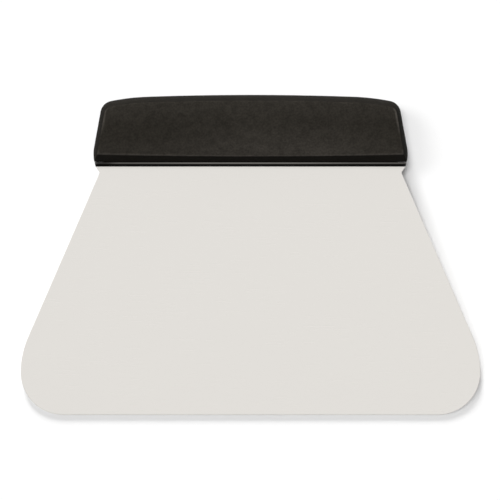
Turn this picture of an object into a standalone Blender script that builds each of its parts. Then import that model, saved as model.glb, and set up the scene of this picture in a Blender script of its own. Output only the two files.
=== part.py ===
"""Dough scraper: a stainless sheet blade held in a moulded handle.

The tool is drawn flat in its own frame: X across the blade, Y up towards the handle with
zero at the handle's mouth, and Z out of the front face with zero at the middle of the
sheet. A parent empty then lays it on the table, where it rests on the blade's bottom edge
and on the handle's back.
"""

import math

import bmesh
import bpy

MM = 0.001

# Blade: the sheet that shows below the handle
BLADE_WIDTH = 160.0 * MM
BLADE_REACH = 86.6 * MM
SHEET_THICKNESS = 1.0 * MM
TOE_RADIUS = 14.6 * MM
FLANK_RADIUS = 31.3 * MM
SIDE_ANGLE = math.radians(23.8)
NOTCH_DROP = 2.1 * MM
NOTCH_RADIUS = 0.8 * MM
EDGE_EASE = 0.15 * MM

# Tang: the part of the sheet that stands inside the handle, covered by the core
TANG_TOP_COVER = 5.6 * MM
TANG_SIDE_COVER = 1.6 * MM
TANG_CORNER_RADIUS = 4.0 * MM
TANG_HOLE_COUNT = 5
TANG_HOLE_RADIUS = 3.5 * MM
TANG_HOLE_MARGIN = 10.0 * MM
PUNCH_LENGTH = 4.0 * MM

# Handle: its outline seen from the front, at the middle plane
HANDLE_LENGTH = 108.4 * MM
HANDLE_HEIGHT = 24.6 * MM
WIDEST_RISE = 4.2 * MM
END_RADIUS = 14.0 * MM
SIDE_LEAN = math.radians(10.6)
CORNER_RADIUS = 4.6 * MM
LEAST_CORNER_RADIUS = 1.15 * MM
SHOULDER_RADIUS = 79.0 * MM
SHOULDER_REACH = 18.6 * MM
CROWN_RADIUS = 990.0 * MM

# Handle: its thickness, and the way its walls draw in from the middle plane to each face
HANDLE_THICKNESS = 16.0 * MM
FACE_INSET = 2.2 * MM
RIM_RADIUS = 0.4 * MM
SWELL_BAND = 5.0 * MM
SWELL_TURN = math.radians(4.0)

# Collar: the smooth lip at the mouth, with a flat band, and a slope down to the blade
COLLAR_RISE = 1.4 * MM
COLLAR_FLAT = 0.6 * MM
COLLAR_SLOPE = math.radians(35.0)
COLLAR_STEP = 0.3 * MM
EAR_COVER = 0.75 * MM

# Foot: the sloping wall of the grip above the collar, up to the bowed lower rim of the face
FOOT_LIP = 0.9 * MM
FOOT_FACE_RISE = 2.3 * MM
FOOT_BOW = 0.7 * MM
FOOT_CORNER_RADIUS = 0.25 * MM

# Core: the hard moulding inside the grip
CORE_CORNER_RADIUS = 0.8 * MM
GRIP_WALL = 2.9 * MM
NECK_WALL = 1.1 * MM
HEAD_THICKNESS = 9.0 * MM
HEAD_EDGE = 0.6 * MM
HEAD_FLARE = 4.4 * MM

# Space kept between neighbouring pieces
CLEARANCE = 0.3 * MM

# How closely a point has to lie at a height to count as being there
POINT_TOLERANCE = 0.001 * MM

# Finishes: base colour, roughness and metallic value of each piece
STEEL_FINISH = ((0.76, 0.737, 0.701), 0.30, 1.0)
SMOOTH_FINISH = ((0.007, 0.0062, 0.0055), 0.24, 0.0)
GRAINED_FINISH = ((0.025, 0.0217, 0.0178), 0.80, 0.0)

# Angles above which an edge stays sharp when shaded, and above which the sheet's edge is eased
SHEET_SHARP_ANGLE = math.radians(40)
MOULDING_SHARP_ANGLE = math.radians(35)
EASED_ANGLE = math.radians(60)

# How finely the round shapes are cut
ARC_STEPS = 6
SIDE_STEPS = 8
CROWN_STEPS = 8
RIM_STEPS = 3
HOLE_SIDES = 28


def arc(centre, radius, start, end, steps):
    """Points along an arc, from one angle to the other, both ends included."""
    return [
        (
            centre[0] + radius * math.cos(start + (end - start) * i / steps),
            centre[1] + radius * math.sin(start + (end - start) * i / steps),
        )
        for i in range(steps + 1)
    ]


def mirrored(right_half):
    """A closed outline from its right half, which runs from the bottom to the top."""
    left_half = [(-x, y) for x, y in reversed(right_half)]
    return right_half + left_half


def side_x(height, inset):
    """How far out the handle's end lies at a height: an arc below, a leaning line above."""
    radius = END_RADIUS - inset
    centre_x = HANDLE_LENGTH / 2 - END_RADIUS
    rise = height - WIDEST_RISE
    if rise <= radius * math.sin(SIDE_LEAN):
        return centre_x + math.sqrt(radius**2 - rise**2)
    return centre_x + (radius - rise * math.sin(SIDE_LEAN)) / math.cos(SIDE_LEAN)


def crown_turn():
    """Half the angle that the crowned top spans, before its shoulders start."""
    return math.asin((HANDLE_LENGTH / 2 - SHOULDER_REACH) / CROWN_RADIUS)


def shoulder_centre():
    """Centre of the arc that takes the crowned top down to the round corner."""
    turn = crown_turn()
    step = CROWN_RADIUS - SHOULDER_RADIUS
    return (
        step * math.sin(turn),
        HANDLE_HEIGHT - CROWN_RADIUS + step * math.cos(turn),
    )


def corner_centre(inset, radius):
    """Centre of the round corner that touches the leaning side and the shoulder arc."""
    # The centre lies on a line beside the leaning side, at one radius from it.
    reach = END_RADIUS - inset - radius
    foot_x = HANDLE_LENGTH / 2 - END_RADIUS + reach * math.cos(SIDE_LEAN)
    foot_y = WIDEST_RISE + reach * math.sin(SIDE_LEAN)
    shoulder_x, shoulder_y = shoulder_centre()
    gap = SHOULDER_RADIUS - inset - radius
    across_x, across_y = foot_x - shoulder_x, foot_y - shoulder_y
    dot = across_y * math.cos(SIDE_LEAN) - across_x * math.sin(SIDE_LEAN)
    length = math.sqrt(dot**2 - across_x**2 - across_y**2 + gap**2) - dot
    return (
        foot_x - length * math.sin(SIDE_LEAN),
        foot_y + length * math.cos(SIDE_LEAN),
    )


def handle_outline(inset, bottom, foot_radius, bow):
    """The handle's outline, drawn in by an inset, with its bottom edge at a given height.

    The bottom edge lies higher towards its ends, by the bow.
    """
    quarter = math.pi / 2
    foot_y = bottom + bow + foot_radius
    foot_x = side_x(foot_y, inset + foot_radius)
    centre_x = HANDLE_LENGTH / 2 - END_RADIUS
    foot_turn = min(math.atan2(foot_y - WIDEST_RISE, foot_x - centre_x), SIDE_LEAN)
    foot = arc((foot_x, foot_y), foot_radius, -quarter, foot_turn, ARC_STEPS)
    shares = [i / CROWN_STEPS for i in range(1, CROWN_STEPS)]
    edge = [(foot_x * share, bottom + bow * share**2) for share in shares]

    radius = max(CORNER_RADIUS - inset, LEAST_CORNER_RADIUS)
    corner = corner_centre(inset, radius)
    shoulder = shoulder_centre()
    corner_end = math.atan2(corner[1] - shoulder[1], corner[0] - shoulder[0])
    corner_arc = arc(corner, radius, SIDE_LEAN, corner_end, ARC_STEPS)

    side_start, side_end = foot[-1][1], corner_arc[0][1]
    heights = [
        side_start + (side_end - side_start) * i / SIDE_STEPS for i in range(1, SIDE_STEPS)
    ]
    side = [(side_x(y, inset), y) for y in heights]

    turn = quarter - crown_turn()
    shoulder_arc = arc(shoulder, SHOULDER_RADIUS - inset, corner_end, turn, ARC_STEPS)
    crown = (0.0, HANDLE_HEIGHT - CROWN_RADIUS)
    crown_arc = arc(crown, CROWN_RADIUS - inset, turn, quarter, CROWN_STEPS)
    return mirrored(edge + foot + side + corner_arc + shoulder_arc[1:] + crown_arc[1:-1])


def rim_end():
    """Height of the rounded rim's inner edge, where the face starts to swell."""
    return HANDLE_THICKNESS / 2 - SWELL_BAND * math.tan(SWELL_TURN / 2)


def rim_centre():
    """Height of the centre of the rim's round section."""
    return rim_end() - RIM_RADIUS * math.cos(SWELL_TURN)


def face_inset(height, rim_inset):
    """Inset at a height on the rim or the swelling face, from the inset at the rim's end."""
    if height <= rim_end():
        across = math.sqrt(RIM_RADIUS**2 - (height - rim_centre()) ** 2)
        return rim_inset + RIM_RADIUS * math.sin(SWELL_TURN) - across
    swell_radius = SWELL_BAND / math.sin(SWELL_TURN)
    drop = swell_radius - (HANDLE_THICKNESS / 2 - height)
    return rim_inset + SWELL_BAND - math.sqrt(max(swell_radius**2 - drop**2, 0.0))


def wall_radius():
    """Radius of the wall's bulge, upright at the middle plane and tangent to the rim."""
    centre = FACE_INSET + RIM_RADIUS * math.sin(SWELL_TURN)
    return (centre**2 + rim_centre() ** 2 - RIM_RADIUS**2) / (2 * (centre - RIM_RADIUS))


def wall_top():
    """Height above the middle plane where the bulging wall meets the rim."""
    return wall_radius() * rim_centre() / (wall_radius() - RIM_RADIUS)


def side_inset(height):
    """How far the ends and the top have drawn in at a height above the middle plane."""
    if height <= wall_top():
        return wall_radius() - math.sqrt(wall_radius() ** 2 - height**2)
    return face_inset(height, FACE_INSET)


def foot_rise():
    """Height of the grip's bottom face above the mouth."""
    return COLLAR_RISE + CLEARANCE


def foot_half():
    """Half the thickness of the grip at its foot: its hollow there, and a lip round it."""
    neck, flare = core_levels(CLEARANCE)[1:3]
    share = (foot_rise() - neck[2]) / (flare[2] - neck[2])
    return neck[0] + (flare[0] - neck[0]) * share + FOOT_LIP


def collar_half():
    """Half the thickness of the collar, a small step in from the grip's foot."""
    return foot_half() - COLLAR_STEP


def foot_lean():
    """Lean of the wall between the grip's foot and the rim, from upright."""
    across = FOOT_FACE_RISE + RIM_RADIUS * math.sin(SWELL_TURN)
    up = rim_centre() - foot_half()
    return math.atan2(across, up) - math.asin(RIM_RADIUS / math.hypot(across, up))


def bottom_rise(height):
    """Height above the mouth of the grip's lower edge, at a height off the middle plane."""
    if height <= rim_centre() + RIM_RADIUS * math.sin(foot_lean()):
        return foot_rise() + max(height - foot_half(), 0.0) * math.tan(foot_lean())
    return face_inset(height, foot_rise() + FOOT_FACE_RISE)


def grip_levels():
    """Levels of the grip's front half: height, inset, height and bow of its bottom edge."""
    wall_rise = wall_top() - foot_half()
    heights = [0.0, foot_half() / 2]
    heights += [foot_half() + wall_rise * i / RIM_STEPS for i in range(RIM_STEPS)]
    start = math.asin((wall_top() - rim_centre()) / RIM_RADIUS)
    end = math.pi / 2 - SWELL_TURN
    for i in range(2 * RIM_STEPS + 1):
        turn = start + (end - start) * i / (2 * RIM_STEPS)
        heights.append(rim_centre() + RIM_RADIUS * math.sin(turn))
    swell_radius = SWELL_BAND / math.sin(SWELL_TURN)
    for i in range(1, RIM_STEPS + 1):
        turn = SWELL_TURN * (1 - i / RIM_STEPS)
        heights.append(HANDLE_THICKNESS / 2 - swell_radius * (1 - math.cos(turn)))
    levels = []
    for height in heights:
        bottom = bottom_rise(height)
        share = min((bottom - foot_rise()) / FOOT_FACE_RISE, 1.0)
        levels.append((height, side_inset(height), bottom, FOOT_BOW * share))
    return levels


def collar_outline(height, edge_inset):
    """The collar's outline at a height, with its lower edge and ends drawn in."""
    low, high = edge_inset, COLLAR_RISE
    rises = [low + (high - low) * i / ARC_STEPS for i in range(ARC_STEPS + 1)]
    inset = side_inset(abs(height)) + edge_inset
    return mirrored([(side_x(rise, inset), rise) for rise in rises])


def slot_half():
    """Half the width of the slot that takes the tang."""
    return SHEET_THICKNESS / 2 + CLEARANCE


def core_inset():
    """How far the core's ends and top lie inside the handle's outline."""
    return GRIP_WALL + CLEARANCE


def core_levels(clearance):
    """Levels of the core's head and neck, or of the hollow round them with a clearance.

    Each is given as height, inset, height of its bottom edge and bow, which is none.
    """
    neck_half = slot_half() + NECK_WALL + clearance
    head_half = HEAD_THICKNESS / 2 + clearance
    inset = core_inset() - clearance
    neck_bottom = COLLAR_RISE / 2 - clearance
    return [
        (0.0, inset, neck_bottom, 0.0),
        (neck_half, inset, neck_bottom, 0.0),
        (head_half - HEAD_EDGE, inset, neck_bottom + HEAD_FLARE, 0.0),
        (head_half, inset + HEAD_EDGE, neck_bottom + HEAD_FLARE + HEAD_EDGE, 0.0),
    ]


def collar_levels():
    """Levels of the collar as height and inset: its wall, then its slope to the flat band."""
    reach = COLLAR_RISE - COLLAR_FLAT
    wall_half = collar_half() - reach * math.tan(COLLAR_SLOPE)
    return [(0.0, 0.0), (wall_half, 0.0), (collar_half(), reach)]


def skin(bm, rings):
    """Faces over a stack of closed rings of equal count, lowest first, with both ends capped."""
    rows = [[bm.verts.new(point) for point in ring] for ring in rings]
    count = len(rows[0])
    for lower, upper in zip(rows, rows[1:]):
        for i in range(count):
            j = (i + 1) % count
            bm.faces.new((lower[i], lower[j], upper[j], upper[i]))
    bm.faces.new(list(reversed(rows[0])))
    bm.faces.new(rows[-1])


def both_sides(front_levels):
    """The levels of a body that is alike at the front and the back, from back to front."""
    back = [(-height, *rest) for height, *rest in reversed(front_levels[1:])]
    return back + [tuple(level) for level in front_levels]


def new_object(name, bm):
    """An object made of a finished bmesh, linked to the scene."""
    bmesh.ops.recalc_face_normals(bm, faces=bm.faces[:])
    mesh = bpy.data.meshes.new(name)
    bm.to_mesh(mesh)
    bm.free()
    part = bpy.data.objects.new(name, mesh)
    bpy.context.collection.objects.link(part)
    return part


def cutter(name, bm):
    """An object that only shapes another one."""
    part = new_object(name, bm)
    part.hide_render = True
    part.display_type = "WIRE"
    return part


def add_boolean(part, tool, operation):
    """Join a tool to a part or cut it out."""
    modifier = part.modifiers.new(operation.lower() + "_" + tool.name, "BOOLEAN")
    modifier.operation = operation
    modifier.solver = "EXACT"
    modifier.object = tool


def smooth(part, angle):
    """Shade a part smooth, apart from edges sharper than an angle."""
    part.data.shade_smooth()
    part.data.set_sharp_from_angle(angle=angle)


def finish(name, colour, roughness, metallic):
    """A plain material with the piece's colour, roughness and metallic value."""
    material = bpy.data.materials.new(name)
    material.use_nodes = True
    shader = material.node_tree.nodes["Principled BSDF"]
    shader.inputs["Base Color"].default_value = (*colour, 1.0)
    shader.inputs["Roughness"].default_value = roughness
    shader.inputs["Metallic"].default_value = metallic
    return material


def plate(outline, half_thickness):
    """A flat plate of a given outline, centred on the middle plane."""
    bm = bmesh.new()
    skin(bm, [[(x, y, z) for x, y in outline] for z in (-half_thickness, half_thickness)])
    return bm


def tang_top():
    """Height of the tang's top edge above the mouth."""
    return HANDLE_HEIGHT - core_inset() - TANG_TOP_COVER


def tang_half():
    """Half the width of the tang, measured below its round corners."""
    level = tang_top() - TANG_CORNER_RADIUS
    return side_x(level, core_inset()) - TANG_SIDE_COVER


def rods(radius, length):
    """Round rods through the tang's holes, spread evenly between its ends."""
    bm = bmesh.new()
    pitch = 2 * (tang_half() - TANG_HOLE_MARGIN) / max(TANG_HOLE_COUNT - 1, 1)
    middle = (TANG_HOLE_COUNT - 1) / 2
    rise = (COLLAR_RISE + tang_top()) / 2
    for i in range(TANG_HOLE_COUNT):
        rod = bmesh.ops.create_cone(
            bm,
            cap_ends=True,
            segments=HOLE_SIDES,
            radius1=radius,
            radius2=radius,
            depth=length,
        )
        bmesh.ops.translate(bm, verts=rod["verts"], vec=(pitch * (i - middle), rise, 0.0))
    return bm


def tang_outline(margin, bottom):
    """Right half of the tang's outline from a bottom height up, grown by a margin."""
    half = tang_half() + margin
    top = tang_top() + margin
    radius = TANG_CORNER_RADIUS + margin
    corner = (half - radius, top - radius)
    return [(half, bottom)] + arc(corner, radius, 0.0, math.pi / 2, ARC_STEPS)


def ear_seat():
    """Height above the mouth up to which the collar is open for the blade's ears."""
    return COLLAR_RISE - EAR_COVER


def bare_rise():
    """Height up to which the blade lies bare, just below the mouth."""
    return -CLEARANCE


def notch_points(ear, side_point):
    """Round bottom of the notch between the ear and the leaning side of the blade."""
    notch_y = -NOTCH_DROP
    drop = notch_y - side_point[1]
    vertex = (side_point[0] - drop * math.tan(SIDE_ANGLE), notch_y)
    # Directions away from the vertex, down the side and up to the ear.
    down = -math.pi / 2 + SIDE_ANGLE
    up = math.atan2(ear[1] - vertex[1], ear[0] - vertex[0])
    half_gap = (up - down) / 2
    reach = NOTCH_RADIUS / math.sin(half_gap)
    bisector = (up + down) / 2
    centre = (
        vertex[0] + reach * math.cos(bisector),
        vertex[1] + reach * math.sin(bisector),
    )
    return arc(centre, NOTCH_RADIUS, down - math.pi / 2, up + math.pi / 2 - 2 * math.pi, ARC_STEPS)


def blade_outline():
    """Outline of the whole sheet: blade, ears seated in the collar, and tang."""
    half = BLADE_WIDTH / 2
    widest_y = TOE_RADIUS - BLADE_REACH
    toe = arc((half - TOE_RADIUS, widest_y), TOE_RADIUS, -math.pi / 2, 0.0, 2 * ARC_STEPS)
    flank = arc((half - FLANK_RADIUS, widest_y), FLANK_RADIUS, 0.0, SIDE_ANGLE, ARC_STEPS)
    shoulder_y = ear_seat() - CLEARANCE
    ear = (side_x(0.0, 0.0), bare_rise())
    ear_top = (side_x(shoulder_y, 0.0), shoulder_y)
    right_half = toe + flank[1:] + notch_points(ear, flank[-1]) + [ear, ear_top]
    return mirrored(right_half + tang_outline(0.0, shoulder_y))


def divide_faces(bm, rise):
    """Divide a plate's two flat faces along the line between their two points at a height."""
    for face in [face for face in bm.faces if len(face.verts) > 4]:
        low, high = rise - POINT_TOLERANCE, rise + POINT_TOLERANCE
        ends = [vert for vert in face.verts if low < vert.co.y < high]
        bmesh.utils.face_split(face, *ends)


def make_blade():
    """The sheet: blade, ears and tang in one piece, with its punched holes."""
    # The bare blade is a flat face of its own, apart from the face that runs under the collar.
    sheet = plate(blade_outline(), SHEET_THICKNESS / 2)
    divide_faces(sheet, bare_rise())
    blade = new_object("blade", sheet)
    punch = cutter("tang_punch", rods(TANG_HOLE_RADIUS, PUNCH_LENGTH))
    add_boolean(blade, punch, "DIFFERENCE")
    ease = blade.modifiers.new("eased_edges", "BEVEL")
    ease.width = EDGE_EASE
    ease.segments = 1
    ease.limit_method = "ANGLE"
    ease.angle_limit = EASED_ANGLE
    smooth(blade, SHEET_SHARP_ANGLE)
    blade.data.materials.append(finish("stainless_sheet", *STEEL_FINISH))
    return blade, [punch]


def moulding(levels, foot_radius):
    """A body with the handle's outline at each of its levels, alike front and back."""
    bm = bmesh.new()
    rings = [
        [(x, y, height) for x, y in handle_outline(inset, bottom, foot_radius, bow)]
        for height, inset, bottom, bow in both_sides(levels)
    ]
    skin(bm, rings)
    return bm


def collar_body():
    """The collar's body, sloping at its lower edge and at its ends."""
    bm = bmesh.new()
    rings = [
        [(x, y, height) for x, y in collar_outline(height, inset)]
        for height, inset in both_sides(collar_levels())
    ]
    skin(bm, rings)
    return bm


def make_core():
    """The hard moulding: head, neck and collar, closed round the tang."""
    core = new_object("handle_core", moulding(core_levels(0.0), CORE_CORNER_RADIUS))
    collar = cutter("collar_form", collar_body())
    add_boolean(core, collar, "UNION")

    # The slot is as wide as the ears where they sit, and runs out below and beside the collar.
    ear_slot = [(HANDLE_LENGTH, -COLLAR_RISE), (HANDLE_LENGTH, ear_seat())]
    slot_outline = mirrored(ear_slot + tang_outline(CLEARANCE, ear_seat()))
    slot = cutter("tang_slot", plate(slot_outline, slot_half()))
    add_boolean(core, slot, "DIFFERENCE")

    # A pin crosses the slot in each of the tang's holes.
    pin_length = 2 * (slot_half() + NECK_WALL)
    pins = cutter("tang_pins", rods(TANG_HOLE_RADIUS - CLEARANCE, pin_length))
    add_boolean(core, pins, "UNION")
    smooth(core, MOULDING_SHARP_ANGLE)
    core.data.materials.append(finish("smooth_black_plastic", *SMOOTH_FINISH))
    return core, [collar, slot, pins]


def make_grip():
    """The grained outer moulding, hollow where the core sits and open at its foot."""
    grip = new_object("handle_grip", moulding(grip_levels(), FOOT_CORNER_RADIUS))
    hollow_form = moulding(core_levels(CLEARANCE), CORE_CORNER_RADIUS + CLEARANCE)
    hollow = cutter("grip_hollow", hollow_form)
    add_boolean(grip, hollow, "DIFFERENCE")
    smooth(grip, MOULDING_SHARP_ANGLE)
    grip.data.materials.append(finish("grained_black_plastic", *GRAINED_FINISH))
    return grip, [hollow]


def resting_lean():
    """The lean at which the tool lies on its blade's edge and on its handle's back."""
    sheet_back = SHEET_THICKNESS / 2
    return max(
        math.atan2(height - sheet_back, bottom + BLADE_REACH)
        for height, _, bottom, _ in grip_levels()
    )


def make_resting_frame():
    """The empty that lays the tool on the table, centred over the origin."""
    lean = resting_lean()
    reach_down = BLADE_REACH * math.cos(lean) + SHEET_THICKNESS / 2 * math.sin(lean)
    reach_up = HANDLE_HEIGHT * math.cos(lean)
    drop = BLADE_REACH * math.sin(lean) + SHEET_THICKNESS / 2 * math.cos(lean)
    frame = bpy.data.objects.new("resting_frame", None)
    bpy.context.collection.objects.link(frame)
    frame.rotation_euler = (lean, 0.0, 0.0)
    frame.location = (0.0, (reach_down - reach_up) / 2, drop)
    return frame


def main():
    """Clear the scene and build the scraper as it lies on a table."""
    for old in list(bpy.data.objects):
        bpy.data.objects.remove(old, do_unlink=True)
    frame = make_resting_frame()
    for make in (make_blade, make_core, make_grip):
        piece, tools = make()
        for item in [piece, *tools]:
            item.parent = frame
    bpy.context.view_layer.update()


main()
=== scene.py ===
"""Dough scraper: its fine shape and its finishes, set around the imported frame.

The tool is drawn in its own frame, as its maker would draw it: X across the blade, Y up
towards the handle with zero at the handle's mouth, and Z out of the front face with zero at
the middle of the sheet. A resting place then lays each piece on the table, on the blade's
bottom edge and the handle's back. All lengths are in metres.
"""

import logging
import math
from abc import ABC, abstractmethod
from dataclasses import dataclass, field
from enum import Enum
from functools import cached_property
from typing import ClassVar

import bmesh
import bpy
from mathutils import Matrix, Vector


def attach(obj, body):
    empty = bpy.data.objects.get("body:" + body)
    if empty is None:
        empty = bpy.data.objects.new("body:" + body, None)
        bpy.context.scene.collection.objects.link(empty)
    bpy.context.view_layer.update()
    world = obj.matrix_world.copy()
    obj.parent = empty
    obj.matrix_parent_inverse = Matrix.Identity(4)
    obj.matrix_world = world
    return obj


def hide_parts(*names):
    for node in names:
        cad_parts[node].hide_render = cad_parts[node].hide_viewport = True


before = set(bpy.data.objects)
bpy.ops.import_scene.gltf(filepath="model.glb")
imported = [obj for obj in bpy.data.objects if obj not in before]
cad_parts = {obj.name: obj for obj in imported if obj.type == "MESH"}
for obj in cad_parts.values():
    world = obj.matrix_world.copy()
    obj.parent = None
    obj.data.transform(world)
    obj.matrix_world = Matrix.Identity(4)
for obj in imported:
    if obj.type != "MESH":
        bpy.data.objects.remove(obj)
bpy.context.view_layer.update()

MM = 0.001
UNIT = (0.0, 1.0)
WHITE = (1.0, 1.0, 1.0)
QUARTER = math.pi / 2
LOG = logging.getLogger("dough_scraper")

Span = tuple[float, float]
Point = tuple[float, float]
Point3 = tuple[float, float, float]
Level = tuple[float, float, float]
Colour = tuple[float, float, float]
Body = bmesh.types.BMesh
Piece = bpy.types.Object
Socket = bpy.types.NodeSocket
Feed = Socket | float | tuple


class Slot(Enum):
    """The record's material slots, one for each finish of the scraper."""

    STEEL = "stainless_sheet"
    SMOOTH_PLASTIC = "smooth_black_plastic"
    GRAINED_PLASTIC = "grained_black_plastic"


class Shaping(Enum):
    """What a shaping tool does to the piece that it is set against."""

    CUT = "DIFFERENCE"
    JOIN = "UNION"


class Steps(Enum):
    """How many steps each kind of curve is cut into."""

    WALL = 8
    SWELL = 10
    CORNER = 14
    SIDE = 24
    CROWN = 36
    HOLE = 72
    TABLE = 96


class Axis(Enum):
    """The parts of a vector."""

    X = "X"
    Y = "Y"
    Z = "Z"


class Maths(Enum):
    """The kinds of arithmetic that the finishes use."""

    PLUS = "ADD"
    LESS = "SUBTRACT"
    TIMES = "MULTIPLY"
    LARGER = "MAXIMUM"
    UNSIGNED = "ABSOLUTE"


# Outlines and bodies


def spaced(start: float, end: float, steps: Steps) -> list[float]:
    """Evenly spaced numbers, both ends included.

    Args:
        start: The first number.
        end: The last number.
        steps: How many steps lie between them.

    Returns:
        The numbers, from the start to the end.
    """
    return [start + (end - start) * i / steps.value for i in range(steps.value + 1)]


def arc(centre: Point, radius: float, start: float, end: float, steps: Steps) -> list[Point]:
    """Points along an arc, both ends included.

    Args:
        centre: Centre of the arc.
        radius: Radius of the arc.
        start: Angle of the first point, in radians.
        end: Angle of the last point, in radians.
        steps: How finely the arc is cut.

    Returns:
        The points, from the start to the end.
    """
    return [
        (centre[0] + radius * math.cos(turn), centre[1] + radius * math.sin(turn))
        for turn in spaced(start, end, steps)
    ]


def mirrored(right_half: list[Point]) -> list[Point]:
    """A closed outline from its right half.

    Args:
        right_half: Points of the right half, from the bottom to the top.

    Returns:
        The points of the whole outline, anticlockwise.
    """
    return right_half + [(-x, y) for x, y in reversed(right_half)]


def at_height(outline: list[Point], height: float) -> list[Point3]:
    """An outline, laid at a height above the middle plane."""
    return [(x, y, height) for x, y in outline]


def both_sides(front_levels: list[tuple]) -> list[tuple]:
    """The levels of a body that is alike at the front and the back.

    Args:
        front_levels: Levels from the middle plane forwards, each starting with its height.

    Returns:
        The levels from the back to the front.
    """
    back = [(-level[0], *level[1:]) for level in reversed(front_levels[1:])]
    return back + front_levels


def lofted(rings: list[list[Point3]]) -> Body:
    """A closed body over a stack of rings that have the same count of points.

    Args:
        rings: The rings, from the back to the front.

    Returns:
        The body, with both ends capped and its faces pointing out.
    """
    body = bmesh.new()
    rows = [[body.verts.new(point) for point in ring] for ring in rings]
    count = len(rows[0])
    for lower, upper in zip(rows, rows[1:]):
        for i in range(count):
            j = (i + 1) % count
            body.faces.new((lower[i], lower[j], upper[j], upper[i]))
    body.faces.new(list(reversed(rows[0])))
    body.faces.new(rows[-1])
    bmesh.ops.recalc_face_normals(body, faces=body.faces[:])
    return body


def plate(outline: list[Point], half_thickness: float) -> Body:
    """A flat plate, centred on the middle plane."""
    return lofted([at_height(outline, height) for height in (-half_thickness, half_thickness)])


def new_piece(name: str, body: Body) -> Piece:
    """An object made of a finished body, linked to the scene.

    Args:
        name: The object's name.
        body: Its body, which is used up.

    Returns:
        The object.
    """
    mesh = bpy.data.meshes.new(name)
    body.to_mesh(mesh)
    body.free()
    piece = bpy.data.objects.new(name, mesh)
    bpy.context.scene.collection.objects.link(piece)
    return piece


def shape(piece: Piece, body: Body, shaping: Shaping) -> None:
    """Cut a body out of a piece or join it on, for good.

    Args:
        piece: The piece that is shaped.
        body: The body of the shaping tool, which is used up.
        shaping: Whether it is cut out or joined on.
    """
    tool = new_piece(piece.name + "_tool", body)
    modifier = piece.modifiers.new(shaping.name.lower(), "BOOLEAN")
    modifier.operation = shaping.value
    modifier.solver = "EXACT"
    modifier.object = tool
    graph = bpy.context.evaluated_depsgraph_get()
    shaped = bpy.data.meshes.new_from_object(piece.evaluated_get(graph))
    piece.modifiers.clear()
    plain = piece.data
    piece.data = shaped
    shaped.name = piece.name
    bpy.data.meshes.remove(plain)
    bpy.data.objects.remove(tool)


def shade(piece: Piece, sharp_angle: float) -> None:
    """Shade a piece smoothly, apart from edges over an angle in radians, which stay sharp."""
    piece.data.shade_smooth()
    piece.data.set_sharp_from_angle(angle=sharp_angle)


# Node trees


@dataclass(frozen=True)
class Grain:
    """A soft random grain: its size along X, Y and Z, and how rich it is."""

    size: Point3
    detail: float = 2.0
    rough: float = 0.5


def opaque(colour: Colour) -> tuple[float, ...]:
    """A colour as a colour socket takes it."""
    return (*colour, 1.0)


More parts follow.
